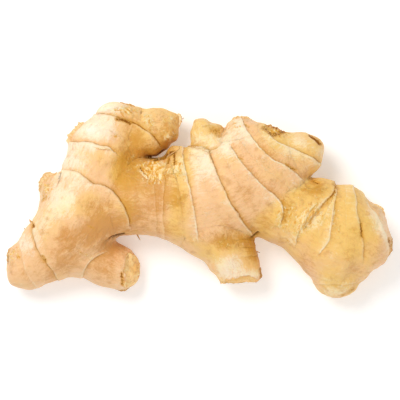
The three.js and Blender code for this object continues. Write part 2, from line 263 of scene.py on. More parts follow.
# Papery scales that stand off the skin: points near the skin that their foot follows, the way they lean, how
# far they reach and how withered they are.
SCALES = [
    dict(foot=[(-52.4, 21.6, 15), (-50.8, 25, 15), (-48, 28, 14), (-45, 29.8, 14)], lean=(-0.75, 0.55, 0.3),
         reach=2.4, wither=0.1),
    dict(foot=[(-41.4, 20.4, 28), (-38.6, 20.2, 28), (-35.6, 20, 27), (-33, 19, 26)], lean=(0.2, -0.7, 0.5),
         reach=1.3, wither=0.0),
    dict(foot=[(-60.6, 2.6, 16), (-60, 6, 17), (-58, 9, 17), (-55.6, 10.4, 17)], lean=(-0.5, 0.7, 0.4),
         reach=2.2, wither=0.4),
    dict(foot=[(24.6, 27.6, 18), (27.4, 26.2, 18), (30.4, 25.4, 18), (33.4, 25.6, 17)],
         lean=(0.2, 0.8, 0.4), reach=1.1, wither=0.8),
    dict(foot=[(11.4, 31.4, 15), (14, 32.2, 15), (17, 32.2, 15), (20.4, 31, 15)], lean=(0.2, 0.8, 0.5),
         reach=1.0, wither=0.2),
    dict(foot=[(73.4, -14.6, 14), (74.2, -17, 14), (74, -19.6, 13), (73, -22.4, 12)], lean=(0.9, -0.2, 0.2),
         reach=1.3, wither=0.5),
    dict(foot=[(66.4, -0.6, 15), (69.4, -3.4, 15), (71.6, -6.6, 15)], lean=(0.7, 0.7, 0.1), reach=0.9,
         wither=0.2),
    dict(foot=[(-8.4, 28.2, 12), (-8, 30.6, 12), (-9.4, 33, 11)], lean=(0.9, 0.5, 0.2), reach=1.7,
         wither=0.4),
    dict(foot=[(51, -10, 29), (51.4, -7, 29), (52.2, -4, 28)], lean=(-0.8, 0.1, 0.5), reach=1.1, wither=0.1),
    dict(foot=[(-23.6, 13.2, 26), (-22.2, 10.4, 26), (-20.2, 7.6, 26)], lean=(0.7, 0.4, 0.5), reach=1.5,
         wither=0.0),
    dict(foot=[(-18.4, 10.8, 26), (-16.6, 12.8, 27), (-14, 14.4, 27)], lean=(-0.4, -0.8, 0.4), reach=1.1,
         wither=0.0),
    dict(foot=[(-33.6, -33.6, 9), (-30.6, -34.4, 9), (-28, -34, 9)], lean=(0.3, -0.9, 0.1), reach=0.8,
         wither=0.6),
    dict(foot=[(22.6, -26.4, 12), (23, -28.6, 12), (22.6, -30.8, 11)], lean=(0.9, -0.1, 0.2), reach=0.7,
         wither=0.9),
    dict(foot=[(-74.4, -18.6, 12), (-74.8, -21.6, 12), (-75, -24.6, 11)], lean=(-0.9, 0.1, 0.3), reach=0.7,
         wither=0.5),
    dict(foot=[(-31.5, 37.4, 12), (-28.5, 37.2, 12), (-25.4, 35.8, 12)], lean=(0.2, 0.9, 0.4), reach=0.8,
         wither=0.7),
    dict(foot=[(50.5, -38.4, 9), (54, -38.9, 9), (58, -37.6, 9)], lean=(0.1, -0.9, 0.1), reach=0.5,
         wither=0.2),
    dict(foot=[(41, -13, 26), (43, -10, 27), (45.2, -7.4, 27), (47.6, -5.4, 27)], lean=(-0.6, 0.6, 0.3),
         reach=0.9, wither=0.0),
    dict(foot=[(5.4, 14.6, 30), (3.4, 17.6, 27), (0.4, 19.4, 26)], lean=(-0.2, 0.6, 0.5), reach=1.0,
         wither=0.4),
]

# Root fibres and their stubs: where they leave the skin, the way they grow, length and thickness at the foot.
ROOTLETS = [
    ((-12.6, 17.0, 20), (0.9, 0.25, 0.2), 6.5, 0.5), ((-14.0, 16.6, 19), (0.7, 0.5, 0.4), 3.4, 0.4),
    ((-16.0, 16.0, 20), (-0.2, 0.9, 0.4), 2.2, 0.4), ((-8.6, 31.0, 11), (0.7, 0.7, 0.3), 2.2, 0.5),
    ((-24.6, -12.6, 12), (0.6, -0.7, 0.2), 2.6, 0.6), ((-22.8, -12.8, 9), (0.8, -0.6, 0.0), 0.9, 0.5),
    ((22.0, -20.6, 11), (0.9, -0.4, 0.1), 1.5, 0.5), ((-65.4, -9.4, 12), (-0.7, 0.7, 0.2), 1.4, 0.9),
    ((-68.4, -12, 10), (-0.7, 0.7, 0.1), 1.2, 0.7), ((-44, -18, 2), (-0.3, -0.3, -0.3), 3.0, 1.3),
    ((-56, -4, 4), (-0.8, 0.4, -0.2), 2.6, 1.2), ((-34, -8, 3), (0.2, -0.8, -0.1), 2.4, 1.1),
    ((-4, -15, 5), (-0.2, -0.9, -0.1), 3.0, 1.2), ((26, -11.6, 4), (0.2, -0.9, -0.1), 2.4, 1.1),
    ((40, -16.6, 5), (-0.2, -0.9, -0.2), 3.4, 1.3), ((58, -28, 5), (0.7, -0.7, -0.1), 2.2, 1.0),
    ((34, 22, 6), (0.4, 0.9, -0.1), 2.8, 1.2), ((-47, 24, 5), (-0.8, 0.5, -0.1), 2.6, 1.2),
    ((8, 25, 5), (-0.1, 1.0, -0.1), 2.2, 1.1), ((69, -4, 6), (0.8, 0.6, -0.1), 2.0, 0.9),
]


def curve_points(stations, shares):
    """Points of the smooth curve through stations at shares of the way along, from 0 to 1."""
    stations = np.asarray(stations, float)
    padded = np.vstack([2 * stations[0] - stations[1], stations, 2 * stations[-1] - stations[-2]])
    place = np.clip(shares, 0, 1) * (len(stations) - 1)
    start = np.minimum(place.astype(int), len(stations) - 2)
    t = (place - start)[:, None]
    before, here, there, after = (padded[start + k] for k in range(4))
    leave, arrive = (there - before) / 2, (after - here) / 2
    bend = 3 * (there - here) - 2 * leave - arrive
    twist = 2 * (here - there) + leave + arrive
    return here + leave * t + bend * t**2 + twist * t**3


def unit(vectors):
    return vectors / np.maximum(np.linalg.norm(vectors, axis=-1, keepdims=True), 1e-9)


def smoothstep(low, high, value):
    t = np.clip((value - low) / (high - low), 0, 1)
    return t * t * (3 - 2 * t)


SEED_SHIFT = np.array([17.3, 5.7, 31.1])  # each seed's noise lies this much further off
CORNER_PRIMES = np.array([73856093, 19349663, 83492791])
SCRAMBLES = ((13, 1274126177), (11, 668265263))
LARGEST_KEY = 0x7FFFFFFF


def lattice_noise(points, size, seed):
    """Smooth noise from -1 to 1, with lumps about size apart."""
    place = points / size + seed * SEED_SHIFT
    corner = np.floor(place).astype(np.int64)
    part = place - corner
    part = part**3 * (part * (part * 6 - 15) + 10)
    total = np.zeros(len(points))
    for step in itertools.product((0, 1), repeat=3):
        key = (corner + step) @ CORNER_PRIMES
        for shift, factor in SCRAMBLES:
            key = (key ^ (key >> shift)) * factor & LARGEST_KEY
        share = np.prod(np.where(step, part, 1 - part), axis=1)
        total += share * (key / (LARGEST_KEY >> 1) - 1)
    return total


def layered_noise(points, size, seed, layers=3):
    """Noise with finer layers, each half the size and half the strength of the one before."""
    return sum(lattice_noise(points, size / 2**k, seed + k) / 2**k for k in range(layers)) / 1.5


def nearest_piece(points, line):
    """For each point: the nearest straight piece of line, the share of the way along it, how far the point is
    past its ends and how far away."""
    step = np.diff(line, axis=0)
    length = np.linalg.norm(step, axis=1)
    offset = points[:, None] - line[None, :-1]
    share = np.einsum("pkc,kc->pk", offset, step) / length**2
    clipped = np.clip(share, 0, 1)
    gap = np.linalg.norm(offset - clipped[..., None] * step, axis=2)
    nearest = np.argmin(gap, axis=1)
    pick = np.arange(len(points))
    past = (share - clipped)[pick, nearest] * length[nearest]
    return nearest, clipped[pick, nearest], past, gap[pick, nearest]


def tube_faces(rows, sides):
    """Quads round a tube of rows with sides points each, and a face over both ends."""
    faces = []
    for row in range(rows - 1):
        for k in range(sides):
            a, b = row * sides + k, row * sides + (k + 1) % sides
            faces.append((a, b, b + sides, a + sides))
    faces.append(tuple(range(sides))[::-1])
    faces.append(tuple(range((rows - 1) * sides, rows * sides)))
    return faces


def stacked(parts):
    """The points and faces of several closed meshes as one mesh."""
    points, faces, count = [], [], 0
    for part_points, part_faces in parts:
        points.append(part_points)
        faces += [tuple(count + i for i in face) for face in part_faces]
        count += len(part_points)
    return np.vstack(points), faces


def vertex_places(mesh):
    places = np.empty(len(mesh.vertices) * 3)
    mesh.vertices.foreach_get("co", places)
    return places.reshape(-1, 3)


class Lobe:
    """A lobe's axis, its frame along the way, and how far points are from its skin."""

    SAMPLES = 34
    SIDES = 48
    CAP_ROWS = 10
    LEAST_RATIO = 0.2  # keeps distances finite on the axis

    def __init__(self, stations, caps, soft):
        stations = np.asarray(stations, float)
        shares = np.linspace(0, 1, self.SAMPLES)
        self.axis = curve_points(stations[:, :3], shares)
        self.sizes = curve_points(stations[:, 3:], shares)
        self.caps = caps
        self.soft = soft
        self.tangent = unit(np.gradient(self.axis, axis=0))
        self.side = unit(np.cross([0, 0, 1], self.tangent))
        self.rise = np.cross(self.tangent, self.side)
        self.length = np.concatenate([[0], np.cumsum(np.linalg.norm(np.diff(self.axis, axis=0), axis=1))])

    def surface(self):
        """Vertices and faces of the closed lobe."""
        reach = np.sin(np.linspace(0, math.pi / 2, self.CAP_ROWS + 1))
        rows = [(0, -past) for past in reach[:0:-1]]
        rows += [(k, 0) for k in range(self.SAMPLES)]
        rows += [(self.SAMPLES - 1, past) for past in reach[1:]]
        turn = np.linspace(0, 2 * math.pi, self.SIDES, endpoint=False)
        vertices = []
        for k, past in rows:
            cap = self.caps[0] if past < 0 else self.caps[1]
            swell = math.sqrt(max(0, 1 - past**2))
            across = np.outer(np.cos(turn), self.side[k]) * self.sizes[k, 0]
            across += np.outer(np.sin(turn), self.rise[k]) * self.sizes[k, 1]
            vertices.append(self.axis[k] + self.tangent[k] * cap * past + across * swell)
        return np.vstack(vertices), tube_faces(len(rows), self.SIDES)

    def measure(self, points):
        """For each point, its distance from the lobe's skin and its place in the lobe (along, side, rise)."""
        nearest, share, past, _ = nearest_piece(points, self.axis)
        t = share[:, None]

        def blend(values):
            return values[nearest] * (1 - t) + values[nearest + 1] * t

        away = points - blend(self.axis)
        side = np.einsum("pc,pc->p", away, blend(self.side))
        rise = np.einsum("pc,pc->p", away, blend(self.rise))
        size = blend(self.sizes)
        cap = np.where(past < 0, self.caps[0], self.caps[1])
        ratio = np.sqrt((side / size[:, 0]) ** 2 + (rise / size[:, 1]) ** 2 + (past / cap) ** 2)
        radius = np.sqrt(side**2 + rise**2 + past**2)
        distance = radius * (1 - 1 / np.maximum(ratio, self.LEAST_RATIO))
        along = blend(self.length[:, None])[:, 0] + past
        return distance, np.stack([along, side, rise], axis=1)


class Hand:
    """All lobes as one smooth body."""

    SOFT_BLEND = 1.7
    CREASE_BLEND = 0.75

    def __init__(self):
        self.names = list(LOBES)
        self.lobes = [Lobe(**LOBES[name]) for name in self.names]

    def measure(self, points):
        """Distance of each point from the melted skin, from each lobe, and its place in the nearest lobe."""
        found = [lobe.measure(points) for lobe in self.lobes]
        distances = np.stack([distance for distance, _ in found], axis=1)
        places = np.stack([place for _, place in found], axis=1)
        soft = np.array([lobe.soft for lobe in self.lobes])
        body = self.melt(distances[:, soft], self.SOFT_BLEND)
        skin = self.melt(np.column_stack([body, distances[:, ~soft]]), self.CREASE_BLEND)
        nearest = np.argmin(distances, axis=1)
        return skin, distances, places[np.arange(len(points)), nearest]

    @staticmethod
    def melt(distances, blend):
        least = distances.min(axis=1)
        return least - blend * np.log(np.exp(-(distances - least[:, None]) / blend).sum(axis=1))


def remeshed(hand, cell):
    """The lobes joined and remeshed to even cells: vertices and quads."""
    points, faces = stacked([lobe.surface() for lobe in hand.lobes])
    mesh = bpy.data.meshes.new("lobes")
    mesh.from_pydata(points.tolist(), [], faces)
    lobes = bpy.data.objects.new("lobes", mesh)
    bpy.context.scene.collection.objects.link(lobes)
    remesh = lobes.modifiers.new("Remesh", "REMESH")
    remesh.mode = "VOXEL"
    remesh.voxel_size = cell
    evaluated = lobes.evaluated_get(bpy.context.evaluated_depsgraph_get())
    even = evaluated.to_mesh()
    places = vertex_places(even)
    corners = np.empty(len(even.loops), int)
    even.loops.foreach_get("vertex_index", corners)
    evaluated.to_mesh_clear()
    bpy.data.objects.remove(lobes)
    bpy.data.meshes.remove(mesh)
    return places, corners.reshape(-1, 4)


class Surface:
    """Vertices and quads with the helpers that sculpting needs."""

    def __init__(self, points, quads):
        self.points = points
        self.quads = quads
        ends = np.vstack([quads[:, [k, (k + 1) % 4]] for k in range(4)])
        self.edges = np.unique(np.sort(ends, axis=1), axis=0)
        count = np.bincount(self.edges.ravel(), minlength=len(points))
        self.neighbours = np.maximum(count, 1)[:, None]

    def normals(self):
        a, b, c, d = (self.points[self.quads[:, k]] for k in range(4))
        face = np.cross(c - a, d - b)
        total = np.zeros_like(self.points)
        for k in range(4):
            for axis in range(3):
                total[:, axis] += np.bincount(self.quads[:, k], face[:, axis], len(self.points))
        return unit(total)

    def relaxed(self, rounds, strength=0.5):
        """The points after averaging with their neighbours."""
        values = self.points.copy()
        first, second = self.edges.T
        for _ in range(rounds):
            mean = np.empty_like(values)
            for axis in range(3):
                total = np.bincount(first, values[second, axis], len(values))
                total += np.bincount(second, values[first, axis], len(values))
                mean[:, axis] = total
            values += strength * (mean / self.neighbours - values)
        return values


# ---------------------------------------------------------------------------
# Sculpting. Lengths are in millimetres.

# Noise fields: the size of their lumps and a seed.
FIELDS = {
    "lumps": (17.0, 3), "ridges": (12.0, 5), "small_lumps": (5.0, 8), "tone": (14.0, 60), "dry": (2.6, 52),
    "ring_wobble": (6.0, 20), "ring_fray": (1.9, 21), "fibres": (1.1, 40), "fine_fibres": (0.6, 41),
    "shreds": (1.7, 43), "fine_shreds": (0.85, 44), "wrinkles": (1.3, 46), "fold_wobble": (2.4, 48),
    "break_line": (6.0, 50), "break_chips": (2.0, 51), "flesh_rim": (1.8, 53), "flesh_pits": (1.4, 54),
}
PATH_SAMPLES = 40  # straight pieces that a path in plan is measured by
STEP_SIZE, STEP_SEED = 7.0, 22  # the noise that varies each sheath's step; each ring takes the next seed
BEND_SIZE, BEND_SEED = 4.0, 47  # the three fields that bend the torn shreds

RING_REACH = 11.0  # how far from a ring its sheath still swells
RING_SHADE_REACH = 7.0  # how far from a ring its skin still changes tone
RING_OWN_LOBES = (0.8, 2.2)  # a ring fades out this far off its own lobes
RING_ENDS = (0.5, 4.0)  # and this far past the ends of its path
STEP_HALF_WIDTH = 0.25
SHEATH_FALL = 5.0  # the raised side falls back over about this length
GROOVE_DEPTH = 0.25  # the groove under the step goes in by this share of it
GROOVE_WIDTH = 1.1
RING_WAVES = (0.3, 0.14)  # how far a sheath's edge wanders off its path, in long waves and in frays
FOLD_WAVE = 0.5
FOLD_END = 3.0

SETTLING_ROUNDS = 3  # how often the even mesh is moved onto the melted skin
LONGEST_MOVE = 2.0  # the furthest that a point moves in one round
EVENING_ROUNDS = 4
LUMP_SHARES = (0.8, 0.3, 0.35)  # large lumps, small lumps and ridges
RIDGE_SHARPNESS = 2.4
FIBRE_HEIGHT = 0.07
WRINKLE_HEIGHT = 0.06
DRY_HEIGHT = 0.12
SCAR_DEPTH = 0.55
SHRED_HEIGHT = 0.3
TORN_DEPTH = 0.08
FINE_SHARE = 0.6  # finer fibres and shreds are this much lower than the coarse ones
# The upward lean of the skin where the marks of the upper side begin and where they are at full strength.
UPPER_SIDE = {"tones": (-0.2, 0.3), "swells": (0.0, 0.6), "folds": (-0.35, 0.3), "scars": (-0.3, 0.1)}
FIBRE_STRETCH = np.array([0.16, 1.0, 1.0])  # scales along and across a lobe, which draw the noise out
SHRED_STRETCH = np.array([1.0, 0.45, 0.45])
WRINKLE_STRETCH = np.array([1.0, 0.14, 0.14])
SHRED_BEND = 1.6
CHIP_HEIGHTS = (1.5, 0.7)  # how far a broken edge wanders, in long waves and in chips
FINGER_REACH = 3.0  # a break only cuts points this near its own finger
FLESH_SUNK = 0.4  # how far the broken flesh has dried in
HOLLOW_ROUNDS, HOLLOW_SCALE = 30, 0.9  # what relaxing moves a point by, out of this, is how hollow it lies


def field(name, points, noise=lattice_noise):
    return noise(points, *FIELDS[name])


def upper_side(marks, normals):
    return smoothstep(*UPPER_SIDE[marks], normals[:, 2])


def blob(points, x, y, half_length, half_width, turn):
    """1 at the middle of an oval patch in plan, falling smoothly to 0 a little past its rim."""
    c, s = math.cos(math.radians(turn)), math.sin(math.radians(turn))
    dx, dy = points[:, 0] - x, points[:, 1] - y
    reach = ((dx * c + dy * s) / half_length) ** 2 + ((dy * c - dx * s) / half_width) ** 2
    return np.exp(-reach)


def patch_values(points, patches):
    """One row of values for each patch: its amount, times how far inside its oval each point is."""
    return np.array([amount * blob(points, *oval) for *oval, amount in patches])


def near_path(points, path, margin, among=True):
    """Which points lie near a smooth path in plan, their signed distance from it (positive on its left) and
    how far past its ends they are."""
    path = np.array(path, float)
    plan = points[:, :2]
    inside = np.all((plan > path.min(axis=0) - margin) & (plan < path.max(axis=0) + margin), axis=1)
    close = np.flatnonzero(among & inside)
    line = curve_points(path, np.linspace(0, 1, PATH_SAMPLES))
    nearest, _, past, gap = nearest_piece(plan[close], line)
    way = np.diff(line, axis=0)[nearest]
    offset = plan[close] - line[nearest]
    left = np.sign(way[:, 0] * offset[:, 1] - way[:, 1] * offset[:, 0])
    return close, left * gap, np.abs(past)


def share_along(points, path):
    """How far each point is from the path's first end, as a share of the straight way to its last."""
    first, last = np.array(path[0]), np.array(path[-1])
    return np.linalg.norm(points[:, :2] - first, axis=1) / np.linalg.norm(last - first)


def sheath_rings(points, distances, hand):
    """Displacement from all sheath edges, and the signed distance, rim and dark that the skin's lines use."""
    rise = np.zeros(len(points))
    nearest = np.full(len(points), RING_SHADE_REACH + 1)
    rim, dark = np.zeros(len(points)), np.zeros(len(points))
    waves, frays = RING_WAVES
    wobble = waves * field("ring_wobble", points) + frays * field("ring_fray", points)
    least = distances.min(axis=1)
    for index, ring in enumerate(RINGS):
        members = [hand.names.index(name) for name in ring["lobes"].split()]
        own = 1 - smoothstep(*RING_OWN_LOBES, distances[:, members].min(axis=1) - least)
        close, signed, over = near_path(points, ring["path"], RING_REACH, own > 0)
        signed = signed + wobble[close]
        weight = own[close] * (1 - smoothstep(*RING_ENDS, over))
        step = ring["step"] * (1 + 0.5 * lattice_noise(points[close], STEP_SIZE, STEP_SEED + index))
        above = np.exp(-np.maximum(signed, 0) / SHEATH_FALL)
        below = -GROOVE_DEPTH * np.exp(np.minimum(signed, 0) / GROOVE_WIDTH)
        edge = smoothstep(-STEP_HALF_WIDTH, STEP_HALF_WIDTH, signed)
        rise[close] += weight * step * (above * edge + below * (1 - edge))
        shade = np.interp(share_along(points[close], ring["path"]), (0, 1), ring["dark"])
        closer = (np.abs(signed) < np.abs(nearest[close])) & (weight > 0.02)
        chosen = close[closer]
        nearest[chosen] = signed[closer]
        rim[chosen] = (weight * ring["rim"])[closer]
        dark[chosen] = (weight * shade)[closer]
    fade = 1 - smoothstep(RING_SHADE_REACH - 2, RING_SHADE_REACH, np.abs(nearest))
    return rise, nearest, rim * fade, dark * fade


def deep_folds(points, normals):
    """How far the folds go in, and how dark the painted shade is at each point in them."""
    depth, dark = np.zeros(len(points)), np.zeros(len(points))
    upper = upper_side("folds", normals)
    for path, half_width, sunk, shade in FOLDS:
        close, signed, over = near_path(points, path, margin=5)
        signed = signed + FOLD_WAVE * field("fold_wobble", points[close])
        left = 1 - smoothstep(0, 1, share_along(points[close], path))
        held = (1 - smoothstep(0, FOLD_END, over)) * left * upper[close]
        value = np.exp(-((signed / half_width) ** 2)) * held
        depth[close] = np.maximum(depth[close], sunk * value)
        dark[close] = np.maximum(dark[close], shade * value)
    return depth, dark


def scar_mask(points, normals):
    mask = np.zeros(len(points))
    upper = upper_side("scars", normals)
    for path, half_width, strength in SCARS:
        close, signed, _ = near_path(points, path, margin=4)
        value = strength * np.exp(-((signed / half_width) ** 2) * 0.7)
        mask[close] = np.maximum(mask[close], value * upper[close])
    return mask


def torn_relief(points, grain, torn):
    """The shreds of torn skin, bent out of the grain's way."""
    bend = np.column_stack([lattice_noise(points, BEND_SIZE, BEND_SEED + k) for k in range(3)])
    place = grain * SHRED_STRETCH + SHRED_BEND * bend
    shreds = np.abs(field("shreds", place)) + FINE_SHARE * field("fine_shreds", place)
    return torn * (SHRED_HEIGHT * shreds - TORN_DEPTH)


def break_off(surface, base, distances, hand):
    """Flattens the snapped ends to ragged faces, and says how much of each point is bare flesh."""
    flesh = np.zeros(len(base))
    waves, chips = CHIP_HEIGHTS
    ragged = waves * field("break_line", base) + chips * field("break_chips", base, layered_noise)
    pits = field("flesh_pits", base, layered_noise)
    rim = field("flesh_rim", base)
    for name, point, facing in BREAKS:
        near = distances[:, hand.names.index(name)] < FINGER_REACH
        facing = unit(np.array(facing))
        over = np.where(near, (surface.points - point) @ facing - ragged, -np.inf)
        sunk = FLESH_SUNK * smoothstep(0.2, 1.6, over) * (1 + pits)
        surface.points -= (np.maximum(over, 0) + sunk)[:, None] * facing
        flesh = np.maximum(flesh, smoothstep(-0.8, 0.5, over + 0.8 * rim))
    return flesh


def sculpt(cell, step_scale, lump_height):
    """The finished skin, its per-vertex masks and its grain."""
    hand = Hand()
    surface = Surface(*remeshed(hand, cell))
    for _ in range(SETTLING_ROUNDS):
        skin, _, _ = hand.measure(surface.points)
        surface.points -= surface.normals() * np.clip(skin, -LONGEST_MOVE, LONGEST_MOVE)[:, None]
    surface.points = surface.relaxed(EVENING_ROUNDS)
    _, distances, grain = hand.measure(surface.points)
    base = surface.points.copy()
    normals = surface.normals()
    upper = upper_side("tones", normals)

    large, small, ridged = LUMP_SHARES
    ridges = 1 - RIDGE_SHARPNESS * np.abs(field("ridges", base))
    lumps = large * field("lumps", base, layered_noise) + small * field("small_lumps", base, layered_noise)
    rise = lump_height * (lumps + ridged * ridges)
    rise += patch_values(base, SWELLS).sum(axis=0) * upper_side("swells", normals)
    ring_rise, ring_distance, ring_rim, ring_dark = sheath_rings(base, distances, hand)
    rise += step_scale * ring_rise
    drawn = grain * FIBRE_STRETCH
    rise += FIBRE_HEIGHT * (field("fibres", drawn) + FINE_SHARE * field("fine_fibres", drawn))
    torn = patch_values(base, TORN_PATCHES).max(axis=0) * upper
    rise += torn_relief(base, grain, torn)
    rise += WRINKLE_HEIGHT * field("wrinkles", grain * WRINKLE_STRETCH)
    scar = scar_mask(base, normals)
    rise -= SCAR_DEPTH * scar
    dry = patch_values(base, DRY_PATCHES).max(axis=0)
    rise += DRY_HEIGHT * dry * field("dry", base, layered_noise)
    fold_depth, fold_shade = deep_folds(base, normals)
    rise -= fold_depth
    surface.points = base + normals * rise[:, None]
    flesh = break_off(surface, base, distances, hand)

    hollow = surface.relaxed(HOLLOW_ROUNDS) - surface.points
    cavity = np.clip(np.einsum("pc,pc->p", hollow, surface.normals()) / HOLLOW_SCALE, -1, 1)
    # The tone is random noise plus the listed patches, with their painted highlights and painted shade.
    tone = 0.35 * field("tone", base, layered_noise) + patch_values(base, TONE_AND_PAINTED_LIGHT).sum(axis=0) * upper
    golden = patch_values(base, GOLDEN).sum(axis=0)

    for x, y, reach, move_x, move_y in NUDGES:
        surface.points[:, :2] += blob(base, x, y, reach, reach, 0)[:, None] * (move_x, move_y)
    surface.points += CENTRING
    surface.points[:, 2] = np.maximum(surface.points[:, 2], 0)
    masks = dict(
        ring_distance=ring_distance, ring_rim=ring_rim, ring_dark=ring_dark, torn=torn, scar=scar,
        flesh=flesh, cavity=cavity, fold_shade=fold_shade, dry=dry, tone=tone, golden=golden,
    )
    return surface, masks, grain


# ---------------------------------------------------------------------------
# Papery scales and root fibres. Each is a closed shell with its grain and how withered it is at each point.

SCALE_ROWS = 7
SCALE_COLUMN = 0.22  # the width of a scale's cells
LEAST_COLUMNS = 12
SCALE_THICKNESS = 0.3
SCALE_ROOT = 0.5  # how deep a scale's foot goes into the skin
ROOTLET_SIDES = 8
ROOTLET_RING = 0.35  # the length of a rootlet's cells
LEAST_RINGS = 6
ROOTLET_ROOT = 0.6
FLOOR_GAP = 0.05
GRAIN_SHIFT = 5.0  # sets the streaks of each shell apart
SCALE_SEED = 100
ROOTLET_SEED = 300
SEEDS_EACH = 3
SCALE_WAVES = ((0.35, 1.7), (0.3, 0.6))  # how ragged a scale's edge is: share of its reach, and size
SCALE_CURL = (0.35, 2.6)
THIN_EDGE = 0.75  # how much of a scale's thickness is gone at its edge
ROOTLET_TAPER = (1.25, 0.95)  # a rootlet's girth at its foot, and how much of it is gone at its tip
ROOTLET_BEND = 0.16
ROOTLET_KNOTS = 0.18


def skin_tree():
    """The finished skin in millimetres in growth's own frame, for finding the nearest point on it."""
    mesh = bpy.data.objects["rhizome"].data
    points = vertex_places(mesh) / MM - CENTRING
    return BVHTree.FromPolygons(points.tolist(), [tuple(polygon.vertices) for polygon in mesh.polygons])


def nearest_skin(tree, points):
    found = [tree.find_nearest(Vector(point)) for point in points]
    return np.array([hit[0] for hit in found]), np.array([hit[1] for hit in found])


def papery_scale(tree, foot, lean, reach, wither, seed):
    """A thin ragged scale: a closed sheet that grows from a line on the skin and thins to its torn edge."""
    span = np.linalg.norm(np.diff(np.array(foot, float), axis=0), axis=1).sum()
    columns = max(LEAST_COLUMNS, int(span / SCALE_COLUMN))
    share = np.linspace(0, 1, columns)
    line, normal = nearest_skin(tree, curve_points(foot, share))
    along = unit(np.gradient(line, axis=0))
    lean = unit(np.array(lean, float))
    steady = np.column_stack([share * span, np.zeros(columns), np.full(columns, seed * 3.7)])
    length = reach * np.sin(math.pi * np.clip(share, 0.02, 0.98)) ** 0.4
    waves = (high * lattice_noise(steady, size, seed + k) for k, (high, size) in enumerate(SCALE_WAVES))
    length *= 0.8 + sum(waves)
    curl = SCALE_CURL[0] * lattice_noise(steady, SCALE_CURL[1], seed + 2)
    upper, under = [], []
    for out in np.linspace(0, 1, SCALE_ROWS):
        centre = line - normal * SCALE_ROOT * (1 - out) + lean * (length * out)[:, None]
        centre += normal * (curl * out**2 * length)[:, None]
        across = unit(np.cross(along, lean + 0.2 * normal)) * SCALE_THICKNESS / 2 * (1 - THIN_EDGE * out)
        upper.append(centre + across)
        under.append(centre - across)
    points = np.vstack(upper + under)
    place = np.arange(SCALE_ROWS * columns).reshape(SCALE_ROWS, columns)
    back = place.size
    faces = []
    for a in place[:-1, :-1].ravel().tolist():
        b, c, d = a + 1, a + columns + 1, a + columns
        faces += [(a, b, c, d), (back + d, back + c, back + b, back + a)]
    rim = np.concatenate([place[0], place[1:, -1], place[-1, -2::-1], place[-2:0:-1, 0]]).tolist()
    for here, there in zip(rim, rim[1:] + rim[:1]):
        faces.append((there, here, back + here, back + there))
    out = np.tile(np.repeat(np.linspace(0, 1, SCALE_ROWS), columns), 2)
    far = np.full(len(points), seed * GRAIN_SHIFT)
    grain = np.column_stack([out * reach, np.tile(share * span, 2 * SCALE_ROWS), far])
    return points, faces, grain, wither + 0.5 * out**2


def rootlet(tree, foot, way, length, thickness, seed):
    """A closed tapering fibre that leaves the skin along way and wanders a little."""
    rings = max(LEAST_RINGS, int(length / ROOTLET_RING))
    base, normal = nearest_skin(tree, [foot])
    way = unit(unit(np.array(way, float)) + 0.4 * normal[0])
    share = np.linspace(0, 1, rings)
    still = share * 0
    drift = [lattice_noise(np.column_stack([share * 2, still, still + k]), 0.7, seed) for k in range(3)]
    centre = base[0] - way * ROOTLET_ROOT + way * (share * (length + ROOTLET_ROOT))[:, None]
    centre += ROOTLET_BEND * length * np.column_stack(drift) * share[:, None]
    tangent = unit(np.gradient(centre, axis=0))
    side = unit(np.cross(tangent, [0.3, 0.2, 0.9]))
    rise = np.cross(tangent, side)
    turn = np.linspace(0, 2 * math.pi, ROOTLET_SIDES, endpoint=False)
    girth, taper = ROOTLET_TAPER
    knots = ROOTLET_KNOTS * lattice_noise(centre, 0.6, seed + 1)
    radius = thickness / 2 * (girth - taper * share**1.4) * (1 + knots)
    circle = np.cos(turn)[None, :, None] * side[:, None] + np.sin(turn)[None, :, None] * rise[:, None]
    points = (centre[:, None] + circle * radius[:, None, None]).reshape(-1, 3)
    out = np.repeat(share, ROOTLET_SIDES)
    grain = np.column_stack([out * length, np.tile(turn, rings), np.full(len(points), seed * GRAIN_SHIFT)])
    return points, tube_faces(rings, ROOTLET_SIDES), grain, out * 0.9


# ---------------------------------------------------------------------------
# Materials

# Noise over the whole skin: its scale per millimetre, detail and roughness.
SKIN_NOISE = {
    "clouds": (0.1, 4.0, 0.6), "mottle": (0.55, 5.0, 0.65), "grit": (1.9, 4.0, 0.7),
    "patches": (0.17, 3.0, 0.6), "golden": (0.075, 3.0, 0.5), "blotches": (0.21, 5.0, 0.62),
    "fray": (0.9, 4.0, 0.7), "gaps": (0.26, 3.0, 0.6), "scar_fray": (1.1, 4.0, 0.7),
}
# Noise that runs with the grain: how it is stretched along it and across it, then as above.
GRAIN_NOISE = {
    "fibres": ((0.12, 1.0, 1.0), (1.5, 4.0, 0.6)), "fine_fibres": ((0.12, 1.0, 1.0), (5.0, 3.0, 0.6)),
    "wrinkles": ((1.0, 0.25, 0.25), (1.1, 4.0, 0.6)), "strands": ((1.0, 0.4, 0.4), (0.9, 5.0, 0.72)),
}
# How much each noise field moves the skin's tone.
TONE_SHARES = {"clouds": 2.4, "mottle": 1.1, "grit": 1.1, "fibres": 1.8, "fine_fibres": 0.9}


